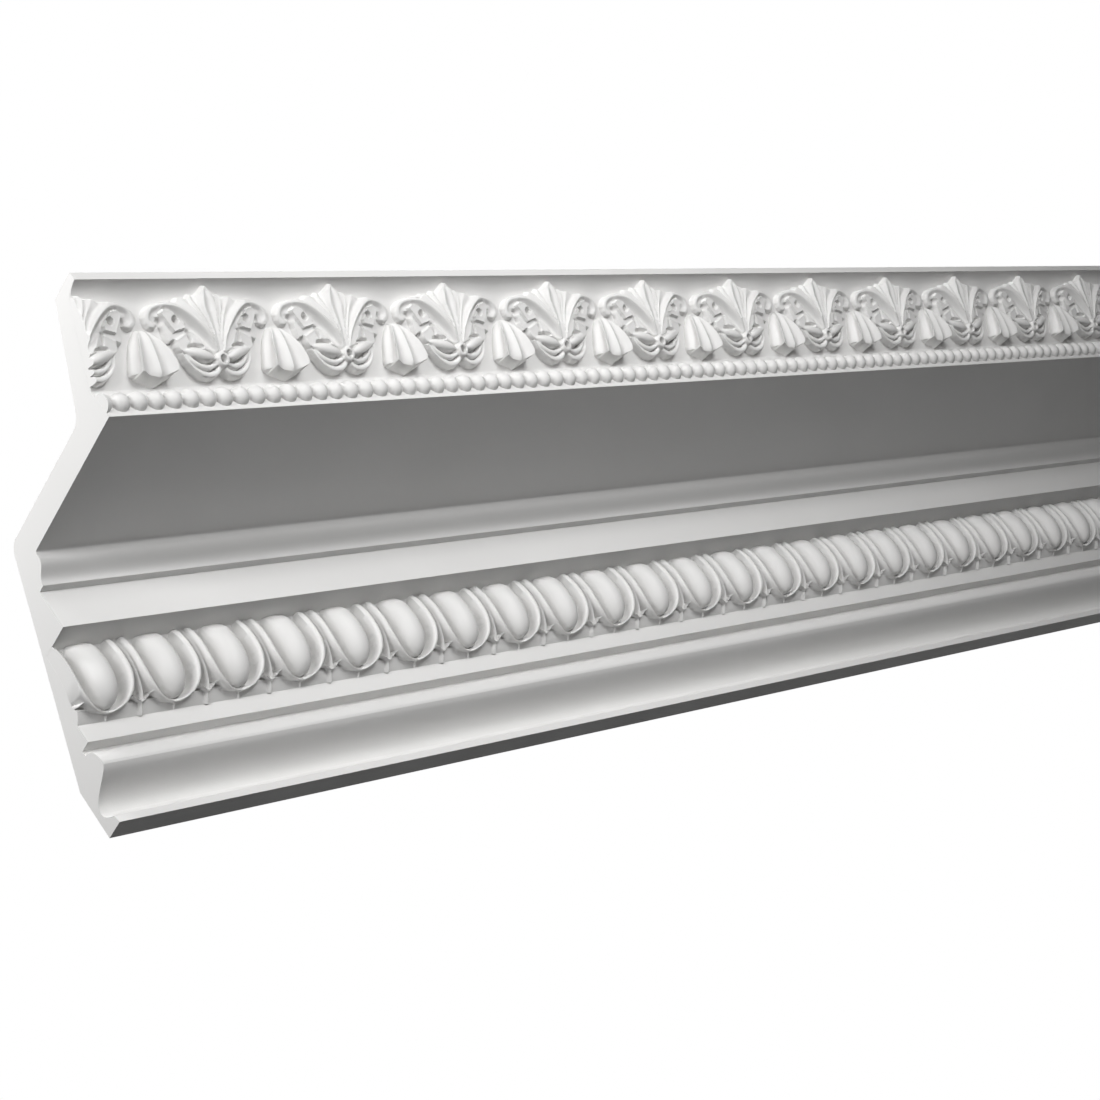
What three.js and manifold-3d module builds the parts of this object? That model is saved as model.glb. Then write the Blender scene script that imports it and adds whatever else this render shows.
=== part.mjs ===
// One length of an enriched room cornice, cut square at both ends. Millimetres, +Z up.
// X runs along the moulding, the wall is the plane y = 0 and the room is on the -Y side.
// The origin is the middle of the face that is glued to the wall.
import * as THREE from 'three';
import { mergeVertices } from 'three/addons/utils/BufferGeometryUtils.js';
import Module from 'manifold-3d';

const wasm = await Module();
wasm.setup();

// Overall sizes
const pitch = 100;               // one palmette and one husk
const length = 1250;
const repeats = Math.ceil(length / pitch);
const height = 225.5;
const wallFace = 34;             // height of the face on the wall
const wallThickness = 18;        // material above the soffit

// Heights above the lowest edge and depths from the wall
const soffitLevel = 149.5;
const soffitBack = 78.1;
const beadFillet = 184;          // depth of the upright fillet that carries the beads
const bandFoot = 169.6;          // level where the leaf band starts
const bandLength = 48.2;         // straight slope of the leaf band
const bandLean = THREE.MathUtils.degToRad(30);
const cavettoRadius = 16;        // hollow between the leaf band and the top strip
const fasciaDepth = 63;
const fasciaTop = 132.1;
const dripLevel = 104.5;         // underside of the fascia, above the eggs
const eggGroundTop = 42.5;
const lowerFilletDepth = 28.2;
const lowerFilletTop = 59.9;
const lowerFilletFoot = 47.6;
const bottomFillet = 14.3;

// Where the repeats stand, measured from the left end
const palmetteStart = 93 - pitch;
const huskStart = 43 - pitch;
const dartStart = -5.5;
const eggPitch = pitch / 2;
const beadPitch = pitch / 8;
const beadRadius = 6.5;
const buried = -4;               // how far the feet of the ornament reach into the body

const plaster = new THREE.MeshStandardMaterial({ color: 0xf0efec, roughness: 0.62, metalness: 0 });

// Closed mesh to solid and back
function solid(geometry) {
  geometry.deleteAttribute('normal');
  geometry.deleteAttribute('uv');
  const merged = mergeVertices(geometry, 1e-4);
  return new wasm.Manifold(new wasm.Mesh({
    numProp: 3,
    vertProperties: new Float32Array(merged.attributes.position.array),
    triVerts: new Uint32Array(merged.index.array),
  }));
}

function toGeometry(body) {
  const mesh = body.getMesh();
  const geometry = new THREE.BufferGeometry();
  geometry.setAttribute('position', new THREE.BufferAttribute(new Float32Array(mesh.vertProperties), 3));
  geometry.setIndex(new THREE.BufferAttribute(new Uint32Array(mesh.triVerts), 1));
  geometry.computeVertexNormals();
  return geometry;
}

// Closed surface through a stack of rings with the same number of points, with a fan at each end
function loft(rings) {
  const count = rings[0].length;
  const positions = [];
  const index = [];
  for (const ring of rings) {
    for (const p of ring) positions.push(p.x, p.y, p.z);
  }
  for (let r = 0; r + 1 < rings.length; r += 1) {
    for (let i = 0; i < count; i += 1) {
      const a = r * count + i;
      const b = r * count + (i + 1) % count;
      index.push(a, b, b + count, a, b + count, a + count);
    }
  }
  for (const [r, flip] of [[0, true], [rings.length - 1, false]]) {
    const centre = rings[r].reduce((sum, p) => sum.add(p), new THREE.Vector3()).divideScalar(count);
    const c = positions.length / 3;
    positions.push(centre.x, centre.y, centre.z);
    for (let i = 0; i < count; i += 1) {
      const a = r * count + i;
      const b = r * count + (i + 1) % count;
      if (flip) index.push(a, c, b);
      else index.push(a, b, c);
    }
  }
  const geometry = new THREE.BufferGeometry();
  geometry.setAttribute('position', new THREE.Float32BufferAttribute(positions, 3));
  geometry.setIndex(index);
  const body = solid(geometry);
  return body.volume() < 0 ? solid(flipped(geometry)) : body;
}

function flipped(geometry) {
  const index = Array.from(geometry.index.array);
  for (let i = 0; i < index.length; i += 3) [index[i + 1], index[i + 2]] = [index[i + 2], index[i + 1]];
  geometry.setIndex(index);
  return geometry;
}

// Ground of the egg band, from the drip down to the lower fillet
const eggGround = new THREE.QuadraticBezierCurve(
  new THREE.Vector2(-eggGroundTop, dripLevel),
  new THREE.Vector2(-45, 70),
  new THREE.Vector2(-lowerFilletDepth, lowerFilletTop),
);

// Slope of the leaf band, in (depth, level): its foot, its direction upwards and its outward normal
const slopeFoot = new THREE.Vector2(-beadFillet, bandFoot);
const slopeUp = new THREE.Vector2(-Math.sin(bandLean), Math.cos(bandLean));
const slopeOut = new THREE.Vector2(-Math.cos(bandLean), -Math.sin(bandLean));
const slopeTop = slopeFoot.clone().addScaledVector(slopeUp, bandLength);
const cavettoCentre = slopeTop.clone().addScaledVector(slopeOut, cavettoRadius);

// Cross-section, x = depth towards the wall, y = level above the lowest edge
function section() {
  const backLean = 0.4866;       // the back leaves the wall by this much for each millimetre of height
  const backTop = soffitLevel + wallThickness;
  const backCorner = -(backTop - wallFace) * backLean;
  const innerCorner = -162;
  const upperLean = 0.688;
  const soft = 6.5;              // length that a soft corner takes from each of its sides
  const ceilingEdge = innerCorner - (height - backTop) * upperLean;
  const slopeMeetsCeiling = cavettoCentre.x + cavettoRadius * Math.tan(Math.PI / 6);
  const outline = new THREE.Shape();
  outline.moveTo(0, 0);
  outline.lineTo(0, wallFace);
  outline.lineTo(backCorner + soft * 0.44, backTop - soft * 0.9);
  outline.quadraticCurveTo(backCorner, backTop, backCorner - soft, backTop);
  outline.lineTo(innerCorner + soft, backTop);
  outline.quadraticCurveTo(innerCorner, backTop, innerCorner - soft * 0.57, backTop + soft * 0.82);
  outline.lineTo(ceilingEdge, height);
  outline.lineTo(cavettoCentre.x, height);
  outline.lineTo(cavettoCentre.x, cavettoCentre.y + cavettoRadius);
  outline.quadraticCurveTo(slopeMeetsCeiling, cavettoCentre.y + cavettoRadius, slopeTop.x, slopeTop.y);
  outline.lineTo(slopeFoot.x, slopeFoot.y);
  outline.lineTo(-beadFillet, soffitLevel);
  outline.lineTo(-soffitBack, soffitLevel);
  outline.bezierCurveTo(-soffitBack, 139, -68.3, 141, -68.3, fasciaTop);
  outline.lineTo(-fasciaDepth, fasciaTop);
  outline.lineTo(-fasciaDepth, dripLevel);
  outline.lineTo(2 - eggGroundTop, dripLevel);
  outline.lineTo(-lowerFilletDepth, lowerFilletTop);
  outline.lineTo(-lowerFilletDepth, lowerFilletFoot);
  outline.lineTo(-20.2, lowerFilletFoot);
  outline.lineTo(-20.2, 44);
  outline.bezierCurveTo(-25.4, 44, -29.4, 38.6, -29.4, 32);
  outline.bezierCurveTo(-29.4, 25.5, -5.5, 24, -5, 13.5);
  outline.quadraticCurveTo(-5.2, 9.5, -13.2, 5.5);
  outline.lineTo(-bottomFillet, 0);
  return outline;
}

// The section is drawn in the XY plane and extruded along Z; this turns it to Y, Z and X
const alongX = new THREE.Matrix4().makeBasis(
  new THREE.Vector3(0, 1, 0), new THREE.Vector3(0, 0, 1), new THREE.Vector3(1, 0, 0),
);

function plainLength() {
  const geometry = new THREE.ExtrudeGeometry(section(), { depth: length, bevelEnabled: false, curveSegments: 4 });
  return solid(geometry.applyMatrix4(alongX));
}

// Point of the leaf band: x along the length, t up the slope and h out of it
function onLeafBand(x, t, h) {
  const p = slopeFoot.clone().addScaledVector(slopeUp, t).addScaledVector(slopeOut, h);
  return new THREE.Vector3(x, p.x, p.y);
}

// Point of the egg band: u from 0 at the drip to 1 at the lower fillet, h out of the ground.
// Just outside these ends the point runs on along the ground's own direction.
function onEggBand(x, u, h) {
  const inside = THREE.MathUtils.clamp(u, 0, 1);
  const t = eggGround.getTangent(inside);
  const p = eggGround.getPoint(inside).addScaledVector(t, (u - inside) * eggGround.getLength());
  return new THREE.Vector3(x, p.x + t.y * h, p.y - t.x * h);
}

// Right half of the palmette's edge as [across, up, height], from the spear's tip round to the scrolls.
// Lobe tips and the notches between them follow each other.
const palmetteEdge = [
  [0, 58.2, 4.5], [4.2, 54, 4], [9.5, 54.6, 4], [12.5, 51.8, 3.6], [19, 52.2, 3.2], [23, 50.2, 3],
  [35, 49.4, 2.8], [45.2, 46, 2.4], [47.4, 39.5, 2], [42.5, 34, 2], [36, 37, 1.5],
  [32.4, 25.6, 2], [25.4, 20, 3], [20.6, 8, 4.4], [10, 4.2, 4.6],
];
const tieKnob = [0, 13.4, 9];    // the small ring at the palmette's foot, where all its lobes meet
const lobedTop = 7;              // so many points of the edge belong to the fluted top

// A domed palmette: rings that close in from its edge to the knob, ridged along its lobes
function palmette(x) {
  const left = palmetteEdge.slice(1).reverse().map(([s, t, h]) => [-s, t, h]);
  const edge = [...left, ...palmetteEdge, [0, 7.4, 3.4]];
  const ringAt = (share, dome, flute) => edge.map(([s, t, h], i) => {
    const step = Math.abs(i - left.length);
    const ridge = step < lobedTop && step % 2 === 1 ? -flute : flute;
    const [cs, ct] = tieKnob;
    return onLeafBand(x + cs + (s - cs) * share, ct + (t - ct) * share, h * share + dome + ridge);
  });
  const foot = edge.map(([s, t]) => onLeafBand(x + s, t, buried));
  return loft([foot, ringAt(1, 0, 0), ringAt(0.8, 2.6, 1.2), ringAt(0.2, 6.8, 0.5)]);
}

// Fluted pendant husk: sections down its length, ribs and grooves across it, then a point on the ground
function husk(x) {
  const across = [-1, -0.7, -0.45, -0.22, 0, 0.22, 0.45, 0.7, 1];
  const row = (t, halfWidth, edgeHeight, crown, groove, sag) => [
    ...across.map((a, i) => onLeafBand(
      x + a * halfWidth, t - sag * (1 - a * a),
      edgeHeight + crown * Math.sqrt(1 - 0.8 * a * a) - (i % 2 === 1 ? groove : 0))),
    onLeafBand(x + halfWidth, t - sag, buried),
    onLeafBand(x - halfWidth, t - sag, buried),
  ];
  return loft([
    row(34, 3.5, 0, 1, 0, -1.2), row(24, 10.8, 2, 5.6, 1, -0.6),
    row(10, 15, 3, 8, 1.2, 6.4), row(8.5, 6, -1.5, 1.5, 0, 8.5),
  ]);
}

// Half a pitch of the egg band, from the middle of an egg to the middle of a dart. Each column gives
// [distance from the egg's middle, height above the ground] at the levels of eggRows.
const eggRows = [-0.03, 0.3, 0.62, 0.82, 1.02];
const eggColumns = [
  [[0, 4.4], [0, 9.8], [0, 8.4], [0, 3.6], [0, -0.6]],
  [[8.6, 3.2], [8.4, 6.4], [5.6, 5.2], [2.4, 3.4], [4, -0.6]],
  [[12.4, 0.6], [11.8, 0.8], [8.2, 0.8], [5, 3.4], [8, -0.6]],
  [[16.8, 5], [16.4, 6.8], [13, 6.4], [9, 2.6], [12, -0.6]],
  [[22, 3], [22, 2.4], [19.6, 1.6], [17, 0.6], [18, -0.6]],
  [[25, 5], [25, 5.6], [25, 5], [25, 2.4], [25, 0]],
];

// Eggs, the shells round them and the darts between, as one ribbon that follows its ground
function eggBand() {
  const column = (middle, side, points) => [
    ...points.map(([d, h], row) => onEggBand(middle + side * d, eggRows[row], h)),
    onEggBand(middle + side * points[4][0], 1.02, buried),
    onEggBand(middle + side * points[0][0], -0.03, buried),
  ];
  const rings = [];
  for (let i = 0; i <= length / eggPitch; i += 1) {
    const middle = dartStart + (i + 0.5) * eggPitch;
    for (let c = 4; c > 0; c -= 1) rings.push(column(middle, -1, eggColumns[c]));
    for (let c = 0; c <= 5; c += 1) rings.push(column(middle, 1, eggColumns[c]));
  }
  return loft(rings);
}

// Row of beads as one turned rod that swells at each bead and narrows between two
function beadRow() {
  const sides = 5;
  const ring = (x, radius) => Array.from({ length: sides }, (_, i) => {
    const angle = (i / sides) * 2 * Math.PI + Math.PI;
    return new THREE.Vector3(x, -beadFillet + radius * Math.cos(angle), 158.9 + radius * Math.sin(angle));
  });
  const rings = [];
  for (let i = 0; i <= length / beadPitch; i += 1) {
    rings.push(ring(i * beadPitch, beadRadius));
    rings.push(ring((i + 0.5) * beadPitch, beadRadius * 0.5));
  }
  return loft(rings);
}

function cornice() {
  const parts = [plainLength(), beadRow(), eggBand()];
  for (let i = 0; i <= repeats; i += 1) {
    parts.push(palmette(palmetteStart + i * pitch), husk(huskStart + (i + 1) * pitch));
  }
  const whole = parts.reduce((sum, part) => sum.add(part));
  const room = new THREE.BoxGeometry(length, 600, 600);
  room.translate(length / 2, 0, height / 2);
  return whole.intersect(solid(room));
}

const mesh = new THREE.Mesh(toGeometry(cornice()), plaster);
mesh.name = 'cornice';
mesh.position.set(-length / 2, 0, -wallFace / 2);

const model = new THREE.Group();
model.add(mesh);
export default model;
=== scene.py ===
# Cornice moulding section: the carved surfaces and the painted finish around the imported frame
import math

import bpy
import numpy as np
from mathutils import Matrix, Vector


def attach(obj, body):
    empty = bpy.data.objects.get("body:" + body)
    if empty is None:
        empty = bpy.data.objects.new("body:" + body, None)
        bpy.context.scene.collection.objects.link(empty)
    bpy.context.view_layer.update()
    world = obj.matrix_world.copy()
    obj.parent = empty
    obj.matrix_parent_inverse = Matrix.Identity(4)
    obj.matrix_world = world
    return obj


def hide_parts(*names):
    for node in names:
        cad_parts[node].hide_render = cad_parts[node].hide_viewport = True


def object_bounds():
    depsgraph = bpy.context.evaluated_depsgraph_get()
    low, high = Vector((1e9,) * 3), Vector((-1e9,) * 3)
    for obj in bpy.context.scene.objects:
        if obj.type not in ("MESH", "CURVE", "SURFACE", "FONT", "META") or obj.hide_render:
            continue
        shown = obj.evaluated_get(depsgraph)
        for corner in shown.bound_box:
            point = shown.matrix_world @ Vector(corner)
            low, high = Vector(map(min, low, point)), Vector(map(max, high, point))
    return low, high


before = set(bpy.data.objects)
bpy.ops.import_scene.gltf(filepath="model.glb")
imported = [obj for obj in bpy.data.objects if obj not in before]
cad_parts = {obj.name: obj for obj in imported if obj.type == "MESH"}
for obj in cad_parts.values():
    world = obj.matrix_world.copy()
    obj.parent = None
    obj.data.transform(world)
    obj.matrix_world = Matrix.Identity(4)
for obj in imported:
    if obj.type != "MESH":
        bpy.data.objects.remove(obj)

cadLow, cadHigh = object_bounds()
scene = bpy.context.scene
mm = 0.001

# Shop sizes in millimetres: x from the left end, depth from the wall (out is negative), level above
# the lowest edge
cornice = {
    "length": (cadHigh.x - cadLow.x) / mm,
    "pitch": 100.0,            # one palmette and one husk
    "palmetteAt": 93.0,        # middle of the first whole palmette
    "eggAt": 19.5,             # middle of the first egg
    "eggPitch": 50.0,
    "beadPitch": 12.5,
    "slopeFoot": (-184.0, 169.6),
    "slopeLean": math.radians(30),
    "slopeLength": 48.2,
    "cavettoRadius": 16.0,
    "endInset": 0.05,          # the carved bands stop this far inside the cut ends
}
absent = -9.0                  # height of a form where it is not there, below every ground


def toFrame(x, depth, level):
    """Shop millimetres to frame metres: x from the left end, level up from the lowest edge."""
    x, depth, level = np.broadcast_arrays(x, depth, level)
    return np.stack([cadLow.x + x * mm, depth * mm, cadLow.z + level * mm], -1)


def blendUp(low, high, value):
    """Smooth step: 0 below low, 1 above high, a cubic between."""
    share = np.clip((value - low) / (high - low), 0, 1)
    return share * share * (3 - 2 * share)


def softMax(a, b, soft):
    """The larger of two heights, with a round fillet of size soft where they cross."""
    near = np.clip(1 - np.abs(a - b) / soft, 0, 1)
    return np.maximum(a, b) + soft * near * near / 4


def smoothCurve(points, steps=10):
    """Curve through the points: each span is the cubic whose end slopes follow the neighbours."""
    p = np.asarray(points, float)
    before = np.vstack([2 * p[:1] - p[1:2], p[:-1]])
    after = np.vstack([p[1:], 2 * p[-1:] - p[-2:-1]])
    slope = (after - before) / 2
    t = (np.arange(steps) / steps)[None, :, None]
    a, b, ma, mb = p[:-1, None], p[1:, None], slope[:-1, None], slope[1:, None]
    span = (2 * t**3 - 3 * t**2 + 1) * a + (t**3 - 2 * t**2 + t) * ma
    span = span + (3 * t**2 - 2 * t**3) * b + (t**3 - t**2) * mb
    return np.vstack([span.reshape(-1, p.shape[1]), p[-1:]])


def nearCurve(s, t, curve):
    """Distance from each grid point to a curve, and the curve's other columns at its nearest point."""
    best = np.full(s.shape, 1e9)
    rest = np.zeros(s.shape + (curve.shape[1] - 2,))
    for a, b in zip(curve[:-1], curve[1:]):
        run = b[:2] - a[:2]
        share = ((s - a[0]) * run[0] + (t - a[1]) * run[1]) / max(run @ run, 1e-9)
        share = np.clip(share, 0, 1)
        gap = np.hypot(s - a[0] - share * run[0], t - a[1] - share * run[1])
        closer = gap < best
        best = np.where(closer, gap, best)
        here = a[2:] + share[..., None] * (b[2:] - a[2:])
        rest = np.where(closer[..., None], here, rest)
    return best, rest


def insideOutline(s, t, outline):
    """Signed distance to a closed outline, positive inside: nearest edge, with the sign from crossings."""
    ring = np.vstack([outline, outline[:1]])
    gap, _ = nearCurve(s, t, np.hstack([ring, np.zeros((len(ring), 1))]))
    odd = np.zeros(s.shape, bool)
    for a, b in zip(ring[:-1], ring[1:]):
        spans = (a[1] > t) != (b[1] > t)
        if spans.any():
            crossing = a[0] + (t - a[1]) * (b[0] - a[0]) / (b[1] - a[1] if b[1] != a[1] else 1e-9)
            odd ^= spans & (s < crossing)
    return np.where(odd, gap, -gap)


def roll(s, t, spine):
    """Round moulding along a spine of (across, up, radius, crest): a half circle on each cross-section."""
    gap, rest = nearCurve(s, t, smoothCurve(spine))
    radius, crest = rest[..., 0], rest[..., 1]
    return np.where(gap < radius, crest - radius + np.sqrt(np.maximum(radius**2 - gap**2, 0)), absent)


def flutes(s, t, ridges, grooves):
    """Height between ridges and grooves: the share of the way from the nearest groove to the
    nearest ridge, eased, moves the height from the one's level to the other's."""
    def nearest(curves):
        """Distance to the nearest of the curves, and that curve's level at its nearest point."""
        best = np.full(s.shape, 1e9)
        level = np.zeros(s.shape)
        for curve in curves:
            gap, rest = nearCurve(s, t, smoothCurve(curve))
            level = np.where(gap < best, rest[..., 0], level)
            best = np.minimum(gap, best)
        return best, level

    ridgeGap, ridgeLevel = nearest(ridges)
    grooveGap, grooveLevel = nearest(grooves)
    share = grooveGap / np.maximum(ridgeGap + grooveGap, 1e-6)
    share = share**palmette["sharpness"]
    return grooveLevel + (ridgeLevel - grooveLevel) * share * share * (3 - 2 * share)


# Right half of the palmette, millimetres across from its middle, up the slope and out of the ground
palmette = {
    "outline": [
        (-4, 62), (0, 59.4), (5.9, 53.6), (10.6, 54.6), (12.8, 52.2), (19.4, 52.8), (22.6, 50.4), (28, 50.6),
        (35, 49.4), (41.5, 47.8), (45.6, 45), (47.4, 41), (46.8, 37.2), (44.6, 34.6), (41.4, 33.8),
        (38.6, 35), (36.6, 37.4), (35.4, 36), (34.8, 31), (33.2, 25), (29.4, 26.6), (28.8, 22.5),
        (26.6, 17.5), (24.6, 12.5), (21, 7.6), (16.4, 4), (10.6, 2.2), (5, 3.2), (0, 7), (-4, 9),
    ],
    "ridges": [
        [(0.7, 16, 8.2), (1.8, 28, 8.7), (2.9, 38, 8.2), (4, 46, 8), (3.2, 50.8, 7.8), (1.7, 54, 7.4),
         (0, 59, 6.8)],
        [(1.1, 16, 8), (2.1, 26, 8.5), (3, 30, 8.3), (4.3, 34, 8), (5.7, 38, 7.6), (7.5, 42, 7.2),
         (9.4, 46, 6.6), (11, 50, 5.6), (11.2, 53.6, 4.4)],
        [(1.5, 17, 8.2), (2.7, 26, 8.9), (4, 30, 8.7), (5.7, 34, 8.3), (7.7, 38, 7.9), (10.2, 42, 7.3),
         (13.4, 46, 6.2), (17.4, 49.6, 5), (19.4, 52, 4)],
        [(2.2, 18, 8.8), (5.2, 26, 9.7), (7.8, 30, 9.9), (10.8, 34, 9.9), (14.5, 38, 9.6), (19.5, 42.4, 9.2),
         (25, 45.8, 8.4), (30.5, 47.4, 6.8), (36.5, 47.4, 5.4), (41.2, 45.6, 4.6), (43.8, 42.4, 4.2),
         (44, 38.6, 3.8), (41.4, 36.4, 4.2)],
        [(8.6, 19, 6.8), (12.6, 24, 6.8), (15.8, 28.4, 6)],
        [(19.6, 31.6, 4.4), (23.6, 36.2, 4.6), (28.4, 41.2, 4.8), (32.6, 44, 4.8)],
    ],
    "grooves": [
        [(0, 16, 7.6), (0, 28, 7.6), (0, 38, 7.3), (0, 45.5, 6.6), (0, 52, 6.6), (0, 55, 6.2)],
        [(1, 16, 7.4), (1.6, 26, 7.5), (2.6, 30, 7.1), (3.4, 34, 6.6), (4.2, 38, 6.1), (5.4, 42, 5.4),
         (6.5, 46, 4.8), (7.8, 50, 4), (8.6, 53, 3.2)],
        [(1.4, 17, 7.6), (2.4, 26, 7.9), (3.4, 30, 7.6), (4.9, 34, 7.2), (6.6, 38, 6.7), (8.8, 42, 6),
         (11.2, 46, 5), (12.8, 51.8, 2.8)],
        [(2, 18, 7.8), (3.6, 25, 7.8), (4.8, 28.4, 7.6), (6.9, 32, 7.3), (9.2, 36, 6.8), (12, 40, 6),
         (15.8, 43.8, 5.4), (20.5, 47.4, 4.8), (24, 49.8, 3.6)],
        [(4.4, 19, 6.4), (9, 25.4, 5.4), (13.8, 31, 4.8), (18.4, 35.4, 4.4), (23, 39.6, 4.2),
         (28, 43.4, 4.2), (32, 45, 4)],
        [(17.5, 25.6, 3.2), (19.4, 29.6, 3), (23.6, 33, 2.8), (27, 37.6, 2.6)],
        [(36.6, 43.6, 2.8), (39.8, 43, 2.6), (41, 40.6, 2.2), (39.4, 38.6, 2)],
    ],
    "plates": [  # flat leaflets with square ends: outline, height, fall per millimetre across
        ([(30.2, 25.6), (27.4, 21), (24, 18.8), (17, 21), (11.4, 20.4), (12.6, 25.6), (17.4, 31.4),
          (22, 29.6)], 5.4, 0.08),
        ([(36, 39), (34.8, 31.5), (33.4, 25), (24, 28.2), (20.6, 30.6), (21.4, 34), (29, 35)], 4, 0.05),
        ([(36, 42.6), (32.4, 36.6), (29, 31.4), (21.2, 33.2), (21, 35.4), (24, 39), (28, 43.4),
          (33, 44.6)], 6, 0.06),
    ],
    "pits": [  # (across, up, radius, floor)
        (26.6, 38.4, 1.9, 1), (36.4, 38.4, 1.9, 0.4),
    ],
    "slits": [  # (across, up, half width, floor)
        [(19.4, 31.6, 0.8, 2.4), (18.4, 25.6, 0.8, 3.2)],
        [(11.4, 21.4, 0.7, 3.2), (15.8, 22.8, 0.9, 2.6), (20.6, 22.4, 0.8, 2.6)],
        [(2.4, 8.6, 0.9, 2), (11, 6.9, 1, 2), (17, 8.8, 1, 2), (21.4, 13.6, 0.9, 2.2)],
        [(6.4, 12.4, 1, 2), (12, 12.2, 1.2, 1.8), (18, 13.8, 1, 2)],
    ],
    "outerScroll": [(1.4, 9, 1.7, 6.6), (5, 5.6, 2.1, 6.8), (11, 4.7, 2.2, 6.6), (17.4, 6.8, 2.1, 6.2),
                    (22.4, 11.4, 1.9, 5.6), (25.4, 17.4, 1.6, 4.8)],
    "innerScroll": [(3.6, 11, 1.2, 6.8), (9, 9.4, 1.7, 6.4), (15, 10.4, 1.7, 6.2), (19.6, 13.6, 1.5, 5.6),
                    (22.8, 17.6, 1.2, 4.8)],
    "bud": [(5.2, 14.8, 1.5, 7.4), (9.6, 15.8, 2.9, 8.6), (15, 17.6, 3.2, 8.4), (20, 19, 2.6, 7.2),
            (24.6, 20.4, 1, 5.2)],
    "ring": {"up": 13.3, "radius": 3.1, "tube": 1.6, "crest": 9.2, "floor": 4.2, "hole": 0.6},
    "sharpness": 1.15,                                   # power that narrows the ridges between the grooves
    "root": {"height": 2.6, "up": (14.5, 17.5), "lean": 0.3},  # the lobes rise from here out of the bud
    "plateRim": {"rise": 0.25, "width": 1.2, "overlap": 0.25},
    "pitWall": (-0.4, 0.8), "slitWall": (0.5, 1.6), "fillet": 0.4, "outlineWall": (-0.6, 0.9),
    "outside": -1.0,
}


def palmetteHeight(s, t):
    """Height of the palmette over its ground: fluted lobes inside an outline, then the flat leaflets,
    the bud, the two scrolls and the tie ring laid over them, and the eyes and slits cut in."""
    leaf = flutes(s, t, palmette["ridges"], palmette["grooves"])
    root, rim = palmette["root"], palmette["plateRim"]
    leaf = root["height"] + (leaf - root["height"]) * blendUp(*root["up"], t - root["lean"] * s)
    for corners, height, fall in palmette["plates"]:
        corners = np.array(corners, float)
        edge = insideOutline(s, t, corners)
        plate = height - fall * (s - corners[:, 0].mean())
        plate = plate + rim["rise"] * np.clip(rim["width"] - edge, 0, rim["width"])
        leaf = np.where(edge > -rim["overlap"], np.maximum(leaf, plate), leaf)
    for across, up, radius, floor in palmette["pits"]:
        away = np.hypot(s - across, t - up)
        leaf = np.minimum(leaf, floor + (leaf - floor) * blendUp(*palmette["pitWall"], away - radius))
    for slit in palmette["slits"]:
        gap, rest = nearCurve(s, t, smoothCurve(slit))
        floor = rest[..., 1]
        leaf = np.minimum(leaf, floor + (leaf - floor) * blendUp(*palmette["slitWall"], gap / rest[..., 0]))
    for part in ("outerScroll", "innerScroll", "bud"):
        leaf = softMax(leaf, roll(s, t, palmette[part]), palmette["fillet"])
    ring = palmette["ring"]
    away = np.hypot(s, t - ring["up"])
    tube = np.sqrt(np.maximum(ring["tube"]**2 - (away - ring["radius"])**2, 0))
    tube = ring["crest"] - ring["tube"] + tube
    leaf = np.where(away < ring["radius"] + ring["tube"], np.maximum(tube, leaf), leaf)
    leaf = np.where(away < ring["radius"] - ring["tube"] * ring["hole"], ring["floor"], leaf)
    edge = insideOutline(s, t, np.array(palmette["outline"], float))
    return np.where(edge > 0, leaf * blendUp(*palmette["outlineWall"], edge), palmette["outside"])


def alongTable(value, table):
    """Smooth function through a short table of (place, size), by the curve through its points."""
    curve = smoothCurve(table)
    return np.interp(value, curve[:, 0], curve[:, 1])


leafBand = {
    "rows": 116, "columnsPerPitch": 172, "fineness": 2,
    "splits": (343, 643, 943),  # the slabs meet here, under a husk
    "backDepth": 2.5, "backTopDepth": 4.0, "footHeight": 0.4,
    "hollowTurn": math.radians(60),
}


def bandGround(t):
    """Ground of the leaf band: flat up the slope, then the hollow under the top strip, a circle arc."""
    radius = cornice["cavettoRadius"]
    past = np.clip(t - cornice["slopeLength"], 0, radius * math.sin(leafBand["hollowTurn"]))
    return radius - np.sqrt(radius**2 - past**2)


def leafMotif():
    """Heights over one pitch, from palmette middle to palmette middle: one half is worked out on a
    finer grid and averaged, and the other half is its mirror image. The lowest row is held near the
    ground and the top row lies on it."""
    fine = leafBand["fineness"]
    halfColumns = leafBand["columnsPerPitch"] // 2
    top = cornice["slopeLength"] + cornice["cavettoRadius"] * math.sin(leafBand["hollowTurn"])
    step = cornice["pitch"] / leafBand["columnsPerPitch"]
    offsets = (np.arange(fine) - (fine - 1) / 2) / fine
    s0 = np.arange(halfColumns + 1) * step
    t0 = np.linspace(0, top, leafBand["rows"] + 1)
    total = np.zeros((leafBand["rows"] + 1, halfColumns + 1))
    for ds in offsets * step:
        for dt in offsets * (t0[1] - t0[0]):
            s, t = np.meshgrid(np.abs(s0 + ds), np.clip(t0 + dt, 0, top))
            total += np.maximum(palmetteHeight(s, t), bandGround(t))
    height = total / fine**2
    height[0] = np.minimum(height[0], leafBand["footHeight"])
    height[-1] = bandGround(t0[-1:])
    return np.hstack([height, height[:, -2:0:-1]]), t0


def onSlope(x, t, out):
    """Point of the leaf band: t up the slope from its foot and out along its normal."""
    foot, lean = cornice["slopeFoot"], cornice["slopeLean"]
    depth = foot[0] - math.sin(lean) * t - math.cos(lean) * out
    level = foot[1] + math.cos(lean) * t - math.sin(lean) * out
    return toFrame(x, depth, level)


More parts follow.
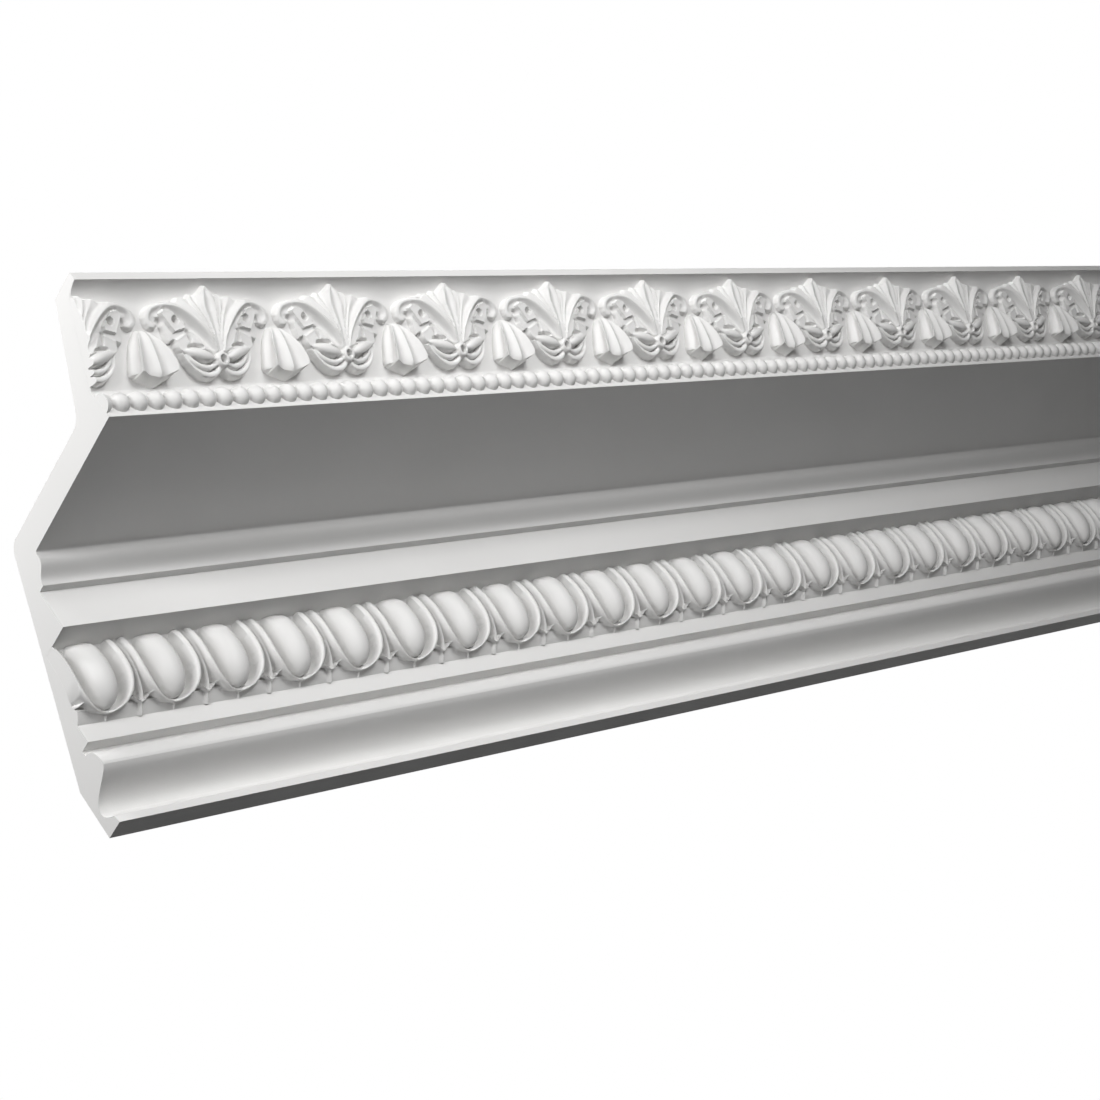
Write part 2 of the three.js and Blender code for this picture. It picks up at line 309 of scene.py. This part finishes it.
def addPiece(name, points, faces, material, sharp=math.radians(38)):
    """Mesh object from arrays of points and of faces with equal sides, smooth but for sharp edges."""
    mesh = bpy.data.meshes.new(name)
    sizes = np.concatenate([np.full(len(f), f.shape[1]) for f in faces])
    corners = np.concatenate([f.ravel() for f in faces])
    mesh.vertices.add(len(points))
    mesh.vertices.foreach_set("co", np.ascontiguousarray(points, np.float32).ravel())
    mesh.loops.add(len(corners))
    mesh.loops.foreach_set("vertex_index", corners.astype(np.int32))
    mesh.polygons.add(len(sizes))
    mesh.polygons.foreach_set("loop_start", np.concatenate([[0], np.cumsum(sizes)[:-1]]).astype(np.int32))
    mesh.polygons.foreach_set("use_smooth", np.ones(len(sizes), bool))
    mesh.update(calc_edges=True)
    mesh.validate()
    mesh.set_sharp_from_angle(angle=sharp)
    mesh.materials.append(material)
    piece = bpy.data.objects.new(name, mesh)
    scene.collection.objects.link(piece)
    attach(piece, "root")
    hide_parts("cornice")
    print(f"  {name}: {len(points)} points")
    return piece


def addSlab(name, front, back, material):
    """Closed slab: a fine front grid of points, a back of a few rows with two corners each, and one
    flat polygon on each of the four sides."""
    rows, columns = front.shape[:2]
    index = np.arange(rows * columns).reshape(rows, columns)
    behind = rows * columns + np.arange(back.shape[0] * 2).reshape(-1, 2)
    grid = np.stack([index[:-1, :-1], index[:-1, 1:], index[1:, 1:], index[1:, :-1]], -1).reshape(-1, 4)
    plain = np.stack([behind[1:, 0], behind[1:, 1], behind[:-1, 1], behind[:-1, 0]], -1)
    sides = [
        np.concatenate([index[0, ::-1], behind[0]]),
        np.concatenate([index[-1], behind[-1, ::-1]]),
        np.concatenate([index[:, 0], behind[::-1, 0]]),
        np.concatenate([index[::-1, -1], behind[:, 1]]),
    ]
    points = np.concatenate([front.reshape(-1, 3), back.reshape(-1, 3)])
    addPiece(name, points, [grid, plain, *(side[None] for side in sides)], material)


def repeatAlong(motif, perPitch, pitch, middle):
    """Columns of a motif that starts at its middle, repeated along the length, and their places."""
    columns = round(cornice["length"] / pitch * perPitch)
    x = np.arange(columns + 1) * pitch / perPitch
    height = motif[:, (np.arange(columns + 1) - round(middle / pitch * perPitch)) % perPitch]
    x[0], x[-1] = cornice["endInset"], cornice["length"] - cornice["endInset"]
    return x, height


def buildLeafBand(material):
    """Slabs that meet under a husk, half way between two palmettes: the motif's heights over the
    slope, on a back of three rows that stays under the ground."""
    motif, t = leafMotif()
    perPitch = leafBand["columnsPerPitch"]
    at, pitch = cornice["palmetteAt"], cornice["pitch"]
    x, height = repeatAlong(motif, perPitch, pitch, at)
    first = round(at / pitch * perPitch)
    cuts = [first + round((split - at) / pitch * perPitch) for split in leafBand["splits"]]
    backT = np.array([[0], [cornice["slopeLength"]], [t[-1]]])
    topOut = bandGround(t[-1]) - leafBand["backTopDepth"]
    backOut = np.array([[-leafBand["backDepth"]], [-leafBand["backDepth"]], [topOut]])
    for slab, (start, end) in enumerate(zip([0, *cuts], [*cuts, len(x) - 1])):
        part = slice(start, end + 1)
        front = onSlope(x[None, part], t[:, None], height[:, part])
        back = onSlope(x[None, [start, end]], backT, backOut)
        addSlab(f"leafBand{slab + 1}", front, back, material)


# Pendant husk by its levels up the slope: half width at the ground, corner ridge across and out, middle
# ridge out, sag of the level at the middle, hollow in the front, hollow in the side
husk = {
    "at": 43.0,
    "levels": [
        (7.2, 14.8, 12.8, 12, 10.4, 3.8, 2.2, 1.4), (9.5, 15, 12.9, 12.3, 11.4, 3.2, 3, 2),
        (13, 14.2, 12.3, 12, 11.3, 2.2, 3.3, 2.4), (16, 13.4, 11.5, 11.5, 10.8, 1.5, 3.2, 2.4),
        (19, 12.6, 10.7, 10.7, 10.2, 1, 2.9, 2.2), (22, 11.6, 9.5, 9.6, 9.5, 0.5, 2.6, 2),
        (25, 10.5, 8.2, 8.3, 8.6, 0.2, 2.1, 1.6), (28, 8.9, 6.5, 6.6, 7.5, 0, 1.5, 1.1),
        (31, 6.7, 4.5, 4.4, 5.6, 0, 0.8, 0.5), (33, 4.6, 2.8, 2.2, 3.2, 0, 0.2, 0.1),
        (34.4, 1, 0.5, -1, -0.8, 0, 0, 0),
    ],
    "foot": [(0, -0.7), (5, 1.4), (10.6, 3.9), (12.9, 5), (14, 6.2), (14.7, 7.6)],
    "sideOut": 0.6, "footOut": 0.25,  # heights down the side, as shares of the corner ridge's
    "footSpread": 0.1,
    "stepsUp": 5, "stepsAcross": 7, "underSteps": 8, "buried": -1.5, "footBuried": -0.9,
    "sharp": math.radians(48),
}


def acrossSpline(knots, steps):
    """Smooth curve through the knots of every level at once: cubic spans whose end slopes follow the
    neighbouring knots."""
    before = np.concatenate([2 * knots[:, :1] - knots[:, 1:2], knots[:, :-1]], 1)
    after = np.concatenate([knots[:, 1:], 2 * knots[:, -1:] - knots[:, -2:-1]], 1)
    slope = ((after - before) / 2)[:, :, None]
    v = (np.arange(steps) / steps)[None, None, :, None]
    a, b, ma, mb = knots[:, :-1, None], knots[:, 1:, None], slope[:, :-1], slope[:, 1:]
    span = (2 * v**3 - 3 * v**2 + 1) * a + (v**3 - 2 * v**2 + v) * ma
    span = span + (3 * v**2 - 2 * v**3) * b + (v**3 - v**2) * mb
    return np.concatenate([span.reshape(len(knots), -1, 3), knots[:, -1:]], 1)


def buildHusks(material):
    """Bell-shaped husks: at each level a curve runs over the middle ridge, a hollow, the corner ridge,
    the hollow side and the foot, and is mirrored; under the lip straight lines run back to the ground."""
    level, foot, corner, out, crown, sag, hollow, side = smoothCurve(husk["levels"], husk["stepsUp"]).T
    footOut = np.maximum(husk["footOut"] * out, husk["footBuried"])
    knots = np.stack([
        np.stack([0 * level, level - sag, crown], -1),
        np.stack([corner / 2, level - sag / 2, (out + crown) / 2 - hollow], -1),
        np.stack([corner, level, out], -1),
        np.stack([(corner + foot) / 2 - side, level, husk["sideOut"] * out], -1),
        np.stack([foot + husk["footSpread"], level, footOut], -1),
        np.stack([foot, level, husk["buried"] + 0 * level], -1),
    ], 1)
    half = acrossSpline(knots, husk["stepsAcross"])
    ground = np.array([[(s, t, husk["buried"]) for s, t in husk["foot"]]], float)
    ground = acrossSpline(ground, husk["stepsAcross"])
    share = np.linspace(0, 1, husk["underSteps"] + 1)[:-1, None, None]
    half = np.concatenate([ground + (half[:1] - ground) * share, half])
    shape = np.concatenate([half[:, :0:-1] * (-1, 1, 1), half], 1)
    rows, columns = shape.shape[:2]
    index = np.arange(rows * columns).reshape(rows, columns)
    grid = np.stack([index[:-1, :-1], index[:-1, 1:], index[1:, 1:], index[1:, :-1]], -1).reshape(-1, 4)
    rim = np.concatenate([index[0, ::-1], index[1:, 0], index[-1, 1:], index[-2:0:-1, -1]])[None]
    middles = np.arange(husk["at"], cornice["length"], cornice["pitch"])
    x = np.minimum(middles[:, None, None] + shape[..., 0], cornice["length"] - cornice["endInset"])
    points = onSlope(x, shape[..., 1], shape[..., 2]).reshape(-1, 3)
    step = (np.arange(len(middles)) * rows * columns)[:, None, None]
    faces = [(grid + step).reshape(-1, 4), (rim + step).reshape(-1, rim.shape[1])]
    addPiece("husks", points, faces, material, husk["sharp"])


# Egg band: the ground falls from under the drip and turns in to the lower fillet. Widths and heights
# are millimetres, and places down the band are shares of the ground from 0 to 1
eggBand = {
    "ground": [(-43.0, 104.5), (-43.0, 68.0), (-28.2, 59.9)],
    "rows": 84, "columnsPerPitch": 76, "fineness": 3,
    "split": 619.5,            # the two slabs meet in the middle of an egg
    "backDepth": 6.5, "backBulge": 1.5, "backMiddle": 0.45, "footHeight": 0.3,
    "egg": {"width": 9.9, "round": (0.36, 0.8), "fullness": 2.3},
    "eggCrest": [(0, 3), (0.05, 5.8), (0.12, 8.4), (0.28, 10.8), (0.45, 11.2), (0.6, 9.8), (0.7, 7.4),
                 (0.76, 4.8), (0.8, 1)],
    "shellInner": {"width": 17.2, "round": (0.32, 0.822)},
    "shellOuter": {"width": 23.2, "round": (0.3, 0.855)},
    "shellCrest": [(0, 3.4), (0.08, 5.6), (0.2, 7.2), (0.4, 7.9), (0.6, 7.3), (0.72, 6), (0.8, 4.8),
                   (0.9, 4)],
    "shellEdge": 0.68,         # height of the shell's inner edge as a share of its crest
    "shellRidge": 0.5,         # place of the crest between the inner and the outer outline
    "shellFullness": 2.4,
    "gap": {"depth": 4.4, "start": (0.0, 0.06), "end": (0.7, 0.76), "endInShell": (0.76, 0.8)},
    "skirt": {"height": 1.4, "reach": 1.8, "start": (0.68, 0.78), "end": 0.885, "below": 4},
    "shaftWidth": [(0, 0.4), (0.2, 0.6), (0.4, 0.9), (0.6, 1.3), (0.72, 1.8), (0.8, 2.3)],
    "shaftCrest": [(0, 3.6), (0.2, 6.8), (0.4, 6.8), (0.6, 5.4), (0.8, 3.4)],
    "shaftFall": 0.45, "shaftEnd": 0.77,
    "barb": {"reach": 7.8, "low": 0.775, "rise": 0.0145, "half": 0.014, "height": 4.2},
    "stem": {"width": 1.2, "flare": 0.8, "start": 0.78, "height": 2, "fall": 0.6},
    "thin": 0.1,               # narrowest width to divide by
    "hair": 0.001,             # joins the shell's halves at the egg's middle. A flaw: below the shell it
                               # also leaves a thin pin, down to the lower fillet, which has to come out
}


def rounded(u, shape):
    """Half width that ends in a quarter ellipse between two places down the band."""
    start, end = shape["round"]
    fall = np.clip((u - start) / (end - start), 0, 1)
    return shape["width"] * np.sqrt(1 - fall**2)


def eggHeight(d, u):
    """Heights of the egg band, d from the egg's middle and u down the ground: an oval egg, a shell that
    rises from a sharp inner edge to a ridge and rounds off to its outline, a low skirt round it, and half
    a pitch away the dart with its widening shaft, two raised barbs and a stem."""
    gap = eggBand["gap"]
    sunk = -gap["depth"] * blendUp(*gap["start"], u)
    outside, inShell = sunk * (1 - blendUp(*gap["end"], u)), sunk * (1 - blendUp(*gap["endInShell"], u))
    thin, fullness = eggBand["thin"], eggBand["egg"]["fullness"]
    share = np.clip(d / np.maximum(rounded(u, eggBand["egg"]), thin), 0, 1)
    egg = np.where(share < 1, alongTable(u, eggBand["eggCrest"]) * (1 - share**fullness)**0.5, absent)
    inner, outer = rounded(u, eggBand["shellInner"]), rounded(u, eggBand["shellOuter"])
    across = (d - inner + eggBand["hair"]) / np.maximum(outer - inner, thin)
    ridge = eggBand["shellRidge"]
    bulge = 1 - (1 - eggBand["shellEdge"]) * np.clip((ridge - across) / ridge, 0, 1)**2
    beyond = np.clip((across - ridge) / (1 - ridge), 0, 1)
    bulge = bulge * (1 - beyond**eggBand["shellFullness"])**0.5
    shell = alongTable(u, eggBand["shellCrest"]) * bulge
    shell = np.where((across > 0) & (across < 1), shell, absent)
    skirt = eggBand["skirt"]
    low = blendUp(*skirt["start"], u)
    there = (d < outer + skirt["reach"]) & (across > 0) & (u < skirt["end"])
    apron = np.where(there, skirt["height"] * low - skirt["below"] * (1 - low), absent)
    aside = np.abs(cornice["eggPitch"] / 2 - d)
    width = alongTable(u, eggBand["shaftWidth"])
    shaft = alongTable(u, eggBand["shaftCrest"])
    shaft = shaft * (1 - eggBand["shaftFall"] * np.clip(aside / width, 0, 1))
    shaft = np.where((aside < width) & (u < eggBand["shaftEnd"]), shaft, absent)
    barb = eggBand["barb"]
    off = np.abs(u - barb["low"] + barb["rise"] * aside) / barb["half"]
    arm = barb["height"] * (1 - np.minimum(off, 1)**2)**0.5
    arm = np.where((aside < barb["reach"]) & (off < 1), arm, absent)
    stem = eggBand["stem"]
    stemWidth = stem["width"] + stem["flare"] * blendUp(stem["start"], 1, u)
    post = stem["height"] * (1 - stem["fall"] * aside / stemWidth)
    post = np.where((aside < stemWidth) & (u > eggBand["shaftEnd"]), post, absent)
    ground = np.where(across < 0, inShell, outside)
    return np.maximum.reduce([egg, shell, apron, shaft, arm, post, ground])


def eggGround(u):
    """Quadratic curve of the egg ground and its outward normal, as depth and level."""
    a, b, c = (np.array(p) for p in eggBand["ground"])
    v = u[..., None]
    place = (1 - v)**2 * a + 2 * v * (1 - v) * b + v**2 * c
    run = 2 * (1 - v) * (b - a) + 2 * v * (c - b)
    run = run / np.linalg.norm(run, axis=-1, keepdims=True)
    return place, np.stack([run[..., 1], -run[..., 0]], -1)


def buildEggBand(material):
    """Two slabs that meet in the middle of an egg: half a pitch of heights, mirrored and repeated, out
    of the ground."""
    perPitch, fine = eggBand["columnsPerPitch"], eggBand["fineness"]
    half = perPitch // 2
    step = cornice["eggPitch"] / perPitch
    u0 = np.linspace(0, 1, eggBand["rows"] + 1)
    offsets = (np.arange(fine) - (fine - 1) / 2) / fine
    total = np.zeros((len(u0), half + 1))
    for dd in offsets * step:
        for du in offsets * (u0[1] - u0[0]):
            d, u = np.meshgrid(np.abs(np.arange(half + 1) * step + dd), np.clip(u0 + du, 0, 1))
            d = np.minimum(d, cornice["eggPitch"] - d)
            total += eggHeight(d, u)
    motif = total / fine**2
    motif[-1] = np.minimum(motif[-1], eggBand["footHeight"])
    motif = np.hstack([motif, motif[:, -2:0:-1]])
    x, height = repeatAlong(motif, perPitch, cornice["eggPitch"], cornice["eggAt"])
    place, normal = eggGround(u0)
    corner, lean = eggGround(np.array([1.0, eggBand["backMiddle"], 0.0]))
    back = corner - lean * eggBand["backDepth"] * np.array([[1], [eggBand["backBulge"]], [1]])
    middle = round(eggBand["split"] / cornice["eggPitch"] * perPitch)
    for slab, (start, end) in enumerate([(0, middle), (middle, len(x) - 1)]):
        part = slice(start, end + 1)
        front = (place[:, None] + normal[:, None] * height[:, part, None])[::-1]
        front = toFrame(x[None, part], front[..., 0], front[..., 1])
        behind = toFrame(x[None, [start, end]], back[:, :1], back[:, 1:])
        addSlab(f"eggBand{slab + 1}", front, behind, material)


beads = {
    "depth": -184.0, "level": 158.9, "radius": 6.5, "neck": 1.6, "sides": 20, "rings": 12,
    "sharp": math.radians(60),
}


def buildBeadRow(material):
    """String of beads: a circle whose radius follows a half ellipse over each pitch, with thin necks."""
    perPitch, sides = beads["rings"], beads["sides"]
    count = round(cornice["length"] / cornice["beadPitch"])
    place = np.arange(count * perPitch + 1) / perPitch
    away = place - np.round(place)
    angle = np.clip(np.abs(away) * 2, 0, 1)
    x = (np.round(place) + np.sign(away) * np.sin(angle * math.pi / 2) / 2) * cornice["beadPitch"]
    radius = np.maximum(beads["radius"] * np.cos(angle * math.pi / 2), beads["neck"])
    x[0], x[-1] = cornice["endInset"], cornice["length"] - cornice["endInset"]
    turn = np.arange(sides) / sides * 2 * math.pi
    depth = beads["depth"] + radius[:, None] * np.cos(turn)
    level = beads["level"] + radius[:, None] * np.sin(turn)
    points = toFrame(x[:, None], depth, level).reshape(-1, 3)
    index = np.arange(len(points)).reshape(len(x), sides)
    ahead = np.roll(index, -1, 1)
    wall = np.stack([index[:-1], ahead[:-1], ahead[1:], index[1:]], -1).reshape(-1, 4)
    caps = [index[:1, ::-1], index[-1:]]
    faces = [wall[:, ::-1], *(cap[:, ::-1] for cap in caps)]
    addPiece("beadRow", points, faces, material, beads["sharp"])


def arcPoints(start, control, end, steps=8):
    """Points of a quadratic curve from start to end, pulled towards control."""
    t = np.linspace(0, 1, steps + 1)[:, None]
    a, b, c = (np.array(p, float) for p in (start, control, end))
    return (1 - t)**2 * a + 2 * t * (1 - t) * b + t**2 * c


def cubicPoints(start, first, second, end, steps=12):
    """Points of a cubic curve from start to end."""
    t = np.linspace(0, 1, steps + 1)[:, None]
    a, b, c, d = (np.array(p, float) for p in (start, first, second, end))
    return (1 - t)**3 * a + 3 * t * (1 - t)**2 * b + 3 * t**2 * (1 - t) * c + t**3 * d


body = {
    "sunk": 1.0,               # the plain body lies this far under the leaf band
    "sunkEggs": 5.0,           # and this far under the deeply cut egg band
    "height": 225.5,
    "nose": -222.2, "noseRound": 1, "noseFoot": 219.3,
    "bandTop": 62.06, "bandBend": 60,  # up the slope: the band's top edge and the first step below it
    "sharp": math.radians(24),
}


def bodySection():
    """Outline of the section as depth and level, clockwise from the lowest edge up the back, over the
    ceiling edge and down the face. Under the carved bands it runs a little below their ground."""
    lean = cornice["slopeLean"]
    foot = np.array(cornice["slopeFoot"])
    up = np.array([-math.sin(lean), math.cos(lean)])
    out = np.array([-math.cos(lean), -math.sin(lean)])
    nose, top, turn = body["nose"], body["height"], body["noseRound"]
    t = np.concatenate([[body["bandTop"]], np.linspace(body["bandBend"], cornice["slopeLength"], 8), [0]])
    band = foot + t[:, None] * up + (bandGround(t) - body["sunk"])[:, None] * out
    u = np.linspace(0, 1, 13)
    place, normal = eggGround(u)
    eggs = place - normal * body["sunkEggs"]
    eggs[0, 1] = eggBand["ground"][0][1]
    parts = [
        [(0, 0), (0, 34)],
        arcPoints((-62.1, 161.6), (-65, 167.5), (-71.5, 167.5)),
        arcPoints((-155.5, 167.5), (-162, 167.5), (-165.7, 172.8)),
        [(-201.9, top)],
        arcPoints((nose + turn, top), (nose, top), (nose, top - turn), 4),
        [(nose, body["noseFoot"])],
        band,
        [tuple(foot)],
        arcPoints((-184, 150), (-184, 149.5), (-183.5, 149.5), 3),
        arcPoints((-80, 149.5), (-78.1, 149.3), (-78.1, 147.5), 4),
        cubicPoints((-78.1, 146), (-77.9, 138), (-68.6, 139.5), (-68.3, 132.1)),
        [(-63, 132.1), (-63, 104.5)],
        eggs,
        [(-28.2, 59.9), (-28.2, 47.6), (-20.2, 47.6), (-20.2, 44)],
        cubicPoints((-20.3, 44), (-25.4, 44), (-29.4, 38.6), (-29.4, 32)),
        cubicPoints((-29.4, 32), (-29.4, 25.5), (-5.5, 24), (-5, 13.5)),
        arcPoints((-5, 13.4), (-5.2, 9.5), (-13.2, 5.5)),
        [(-14.3, 0)],
    ]
    return np.vstack([np.array(part, float) for part in parts])


def buildBody(material):
    """The section carried along the length, with a flat cut face at each end."""
    section = bodySection()
    count = len(section)
    ends = [toFrame(x, section[:, 0], section[:, 1]) for x in (0.0, cornice["length"])]
    ring = np.arange(count)
    ahead = np.roll(ring, -1)
    wall = np.stack([ring, ahead, ahead + count, ring + count], -1)
    caps = [ring[None, ::-1], ring[None] + count]
    addPiece("corniceBody", np.concatenate(ends), [wall, *caps], material, body["sharp"])


finish = {
    "white": (0.79, 0.785, 0.775), "greyed": 0.975,    # the cloudy patches are this share as bright
    "cloudScale": 14, "cloudDetail": 4, "cloudRange": (0.3, 0.7), "roughness": (0.49, 0.63),
    "peelScale": 900, "peelStrength": 0.15, "peelHeight": 0.0002,
}


def primedWhite():
    """Matt white primer: faint cloudy change of tone and roughness, and a fine orange-peel bump."""
    material = bpy.data.materials.new("primedWhite")
    material.use_nodes = True
    nodes, links = material.node_tree.nodes, material.node_tree.links
    shader = nodes["Principled BSDF"]
    place = nodes.new("ShaderNodeTexCoord")
    cloud = nodes.new("ShaderNodeTexNoise")
    cloud.inputs["Scale"].default_value = finish["cloudScale"]
    cloud.inputs["Detail"].default_value = finish["cloudDetail"]
    links.new(place.outputs["Object"], cloud.inputs["Vector"])
    sheen = nodes.new("ShaderNodeMapRange")
    sheen.inputs["From Min"].default_value, sheen.inputs["From Max"].default_value = finish["cloudRange"]
    sheen.inputs["To Min"].default_value, sheen.inputs["To Max"].default_value = finish["roughness"]
    links.new(cloud.outputs["Fac"], sheen.inputs["Value"])
    links.new(sheen.outputs["Result"], shader.inputs["Roughness"])
    tone = nodes.new("ShaderNodeMix")
    tone.data_type = "RGBA"
    tone.inputs["A"].default_value = (*(finish["greyed"] * c for c in finish["white"]), 1)
    tone.inputs["B"].default_value = (*finish["white"], 1)
    links.new(cloud.outputs["Fac"], tone.inputs["Factor"])
    links.new(tone.outputs["Result"], shader.inputs["Base Color"])
    peel = nodes.new("ShaderNodeTexNoise")
    peel.inputs["Scale"].default_value = finish["peelScale"]
    links.new(place.outputs["Object"], peel.inputs["Vector"])
    bump = nodes.new("ShaderNodeBump")
    bump.inputs["Strength"].default_value = finish["peelStrength"]
    bump.inputs["Distance"].default_value = finish["peelHeight"]
    links.new(peel.outputs["Fac"], bump.inputs["Height"])
    links.new(bump.outputs["Normal"], shader.inputs["Normal"])
    return material


camera = {
    "place": (-1.48391, -0.96303, -0.63248), "turn": (120.7706, 34.3786, -36.3175),
    "lens": 81.607, "sensor": 36,
}


def addCamera():
    """Camera at the photograph's viewing angle, without shift or depth of field."""
    data = bpy.data.cameras.new("camera")
    data.lens = camera["lens"]
    data.sensor_width = camera["sensor"]
    eye = bpy.data.objects.new("camera", data)
    eye.location = camera["place"]
    eye.rotation_euler = [math.radians(a) for a in camera["turn"]]
    scene.collection.objects.link(eye)
    scene.camera = eye


studio = {
    "floorLevel": -1.8, "floorSize": 14.0, "floorWhite": (0.9, 0.9, 0.9), "backdrop": 1.0,
    "target": (-0.275, -0.1, 0.1), "spread": math.radians(110),
    "lights": [  # name, turn from straight in front (left is negative), height angle, distance, size, watts
        ("leftKey", -55, 4, 3.0, 1.0, 9.4), ("leftGrazing", -68, 8, 3.0, 0.6, 6.86),
        ("middleFront", 0, 4, 1.4, 0.5, 3.3), ("levelFront", -15, 4, 1.3, 0.5, 1.46),
        ("highFront", -15, 22, 2.0, 0.8, 0.5), ("endHigh", -92, 45, 1.1, 0.4, 3.31),
    ],
    "below": {"size": 6.0, "level": -1.7, "watts": 7.8},
    "behind": {"turn": (40, 0, 150), "strength": 2.1, "angle": math.radians(25)},
}


def addFloor():
    """Pale square floor. It throws no light back on the moulding; the light from below does that."""
    size, level = studio["floorSize"] / 2, studio["floorLevel"]
    corners = [(-size, -size, level), (size, -size, level), (size, size, level), (-size, size, level)]
    mesh = bpy.data.meshes.new("floor")
    mesh.from_pydata(corners, [], [(0, 1, 2, 3)])
    floor = bpy.data.objects.new("floor", mesh)
    pale = bpy.data.materials.new("floorPale")
    pale.use_nodes = True
    pale.node_tree.nodes["Principled BSDF"].inputs["Base Color"].default_value = (*studio["floorWhite"], 1)
    mesh.materials.append(pale)
    scene.collection.objects.link(floor)
    floor.visible_diffuse = False


def addLamps():
    """Soft area lights, each at its distance from the target: across by the sine and out by the cosine
    of its turn, up by the sine of its height angle."""
    target = Vector(studio["target"])
    for name, turn, height, distance, width, watts in studio["lights"]:
        data = bpy.data.lights.new(name, "AREA")
        data.size = width
        data.energy = watts
        data.spread = studio["spread"]
        lamp = bpy.data.objects.new(name, data)
        turn, height = math.radians(turn), math.radians(height)
        level = math.cos(height)
        way = Vector((math.sin(turn) * level, -math.cos(turn) * level, math.sin(height)))
        lamp.location = target + distance * way
        lamp.rotation_euler = (-way).to_track_quat("-Z", "Y").to_euler()
        lamp.visible_camera = False
        scene.collection.objects.link(lamp)


def addFillLights():
    """A wide light from below, in place of the floor's own reflection, and a soft sun from behind that
    reaches the floor, the back and the top, which are out of the photograph's sight."""
    below = bpy.data.lights.new("below", "AREA")
    below.size = studio["below"]["size"]
    below.energy = studio["below"]["watts"]
    glow = bpy.data.objects.new("below", below)
    glow.location = (*studio["target"][:2], studio["below"]["level"])
    glow.rotation_euler = (math.pi, 0, 0)
    glow.visible_camera = False
    scene.collection.objects.link(glow)
    behind = bpy.data.lights.new("behind", "SUN")
    behind.energy = studio["behind"]["strength"]
    behind.angle = studio["behind"]["angle"]
    sun = bpy.data.objects.new("behind", behind)
    sun.rotation_euler = [math.radians(a) for a in studio["behind"]["turn"]]
    scene.collection.objects.link(sun)


def addSurround():
    """Even white surround that the camera sees and that throws no light on the moulding."""
    world = bpy.data.worlds.new("surround")
    world.use_nodes = True
    nodes, links = world.node_tree.nodes, world.node_tree.links
    sight = nodes.new("ShaderNodeLightPath")
    level = nodes.new("ShaderNodeMix")
    level.inputs["A"].default_value = 0
    level.inputs["B"].default_value = studio["backdrop"]
    links.new(sight.outputs["Is Camera Ray"], level.inputs["Factor"])
    links.new(level.outputs["Result"], nodes["Background"].inputs["Strength"])
    nodes["Background"].inputs["Color"].default_value = (1, 1, 1, 1)
    scene.world = world
    scene.view_settings.view_transform = "Standard"


addCamera()
white = primedWhite()
print("body")
buildBody(white)
print("leaf band")
buildLeafBand(white)
print("husks")
buildHusks(white)
print("egg band")
buildEggBand(white)
print("beads")
buildBeadRow(white)
print("studio")
addFloor()
addLamps()
addFillLights()
addSurround()
